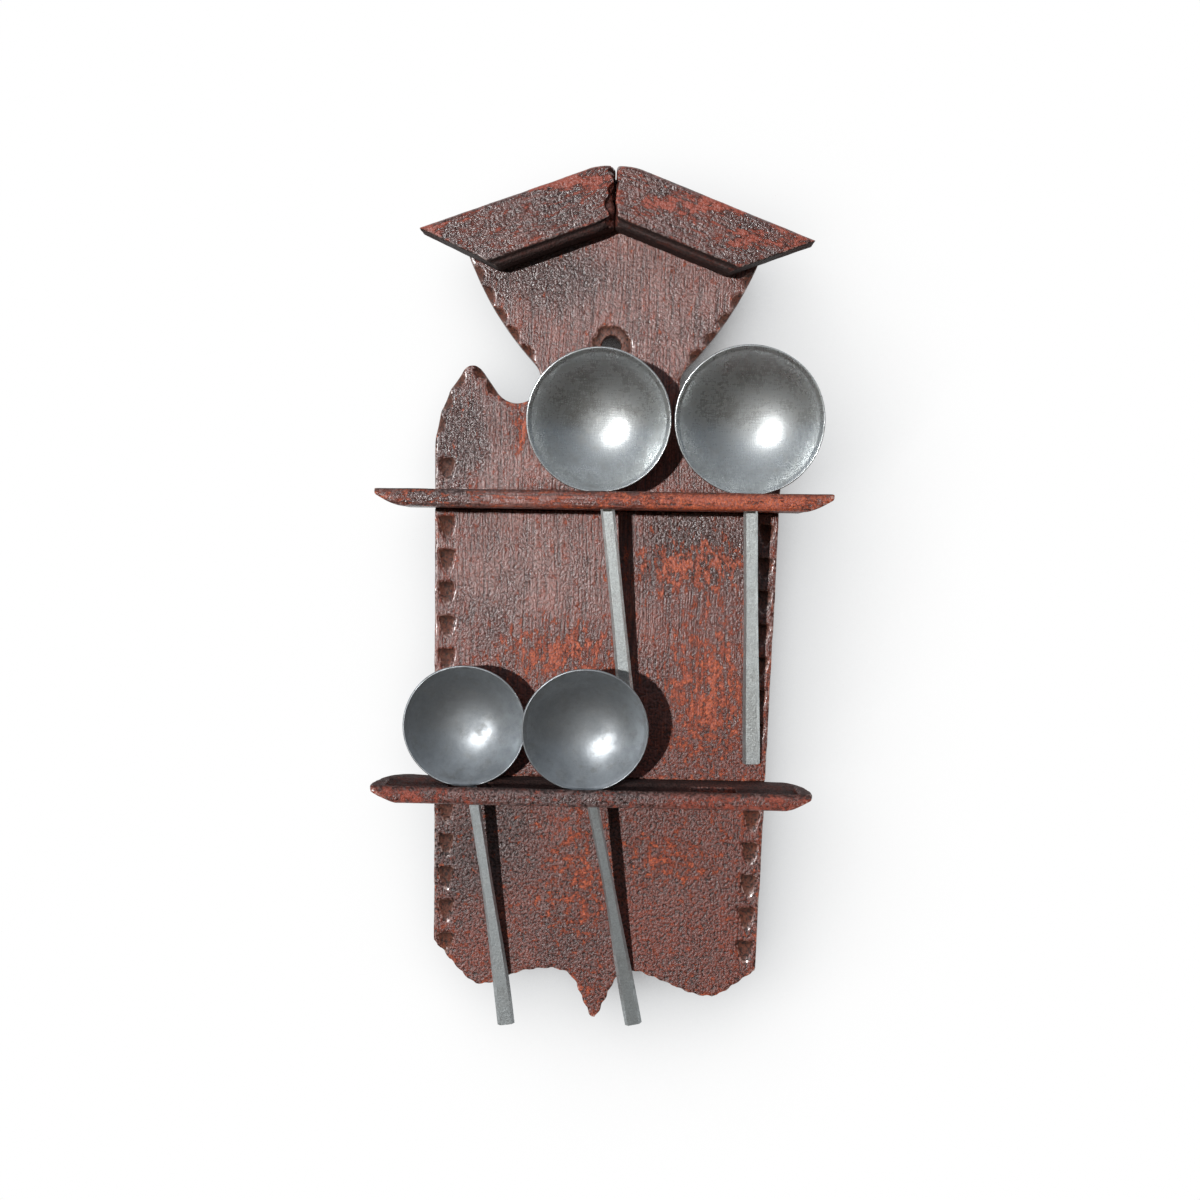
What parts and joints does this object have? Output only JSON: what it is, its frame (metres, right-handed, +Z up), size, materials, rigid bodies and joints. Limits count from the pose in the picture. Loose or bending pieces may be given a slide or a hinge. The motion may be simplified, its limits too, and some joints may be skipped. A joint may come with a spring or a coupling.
{
  "type": "wall spoon rack",
  "caption": "Carved and painted wooden wall rack with a pedimented head and slotted shelves, holding round-bowled pewter spoons that lift out upwards.",
  "frame": {"origin": "centre of the hanging hole on the back face", "axes": "+X right as seen from the front, +Y into the wall, +Z up"},
  "size_m": [0.206, 0.052, 0.4028],
  "materials": {
    "painted_wood": "aged crazed oxblood paint, worn at the edges",
    "pewter": "satin, lightly scratched",
    "iron": "dark hand-wrought"
  },
  "bodies": {
    "rack": {"backboard": "painted_wood", "upper_shelf": "painted_wood", "lower_shelf": "painted_wood", "left_moulding": "painted_wood", "right_moulding": "painted_wood", "upper_shelf_nails": "iron", "lower_shelf_nails": "iron", "left_moulding_nails": "iron", "right_moulding_nails": "iron"},
    "upper_middle_spoon": {"upper_middle_spoon": "pewter"},
    "upper_right_spoon": {"upper_right_spoon": "pewter"},
    "lower_left_spoon": {"lower_left_spoon": "pewter"},
    "lower_middle_spoon": {"lower_middle_spoon": "pewter"}
  },
  "joints": [
    {"name": "upper_middle_lift", "type": "slide", "parent": "rack", "child": "upper_middle_spoon", "axis": [-0.1201, -0.1679, 0.9785], "range_m": [0, 0.132]},
    {"name": "upper_right_lift", "type": "slide", "parent": "rack", "child": "upper_right_spoon", "axis": [-0.0447, -0.1679, 0.9848], "range_m": [0, 0.132]},
    {"name": "lower_left_lift", "type": "slide", "parent": "rack", "child": "lower_left_spoon", "axis": [-0.1478, -0.1513, 0.9774], "range_m": [0, 0.06]},
    {"name": "lower_middle_lift", "type": "slide", "parent": "rack", "child": "lower_middle_spoon", "axis": [-0.1896, -0.2532, 0.9487], "range_m": [0, 0.125]}
  ]
}
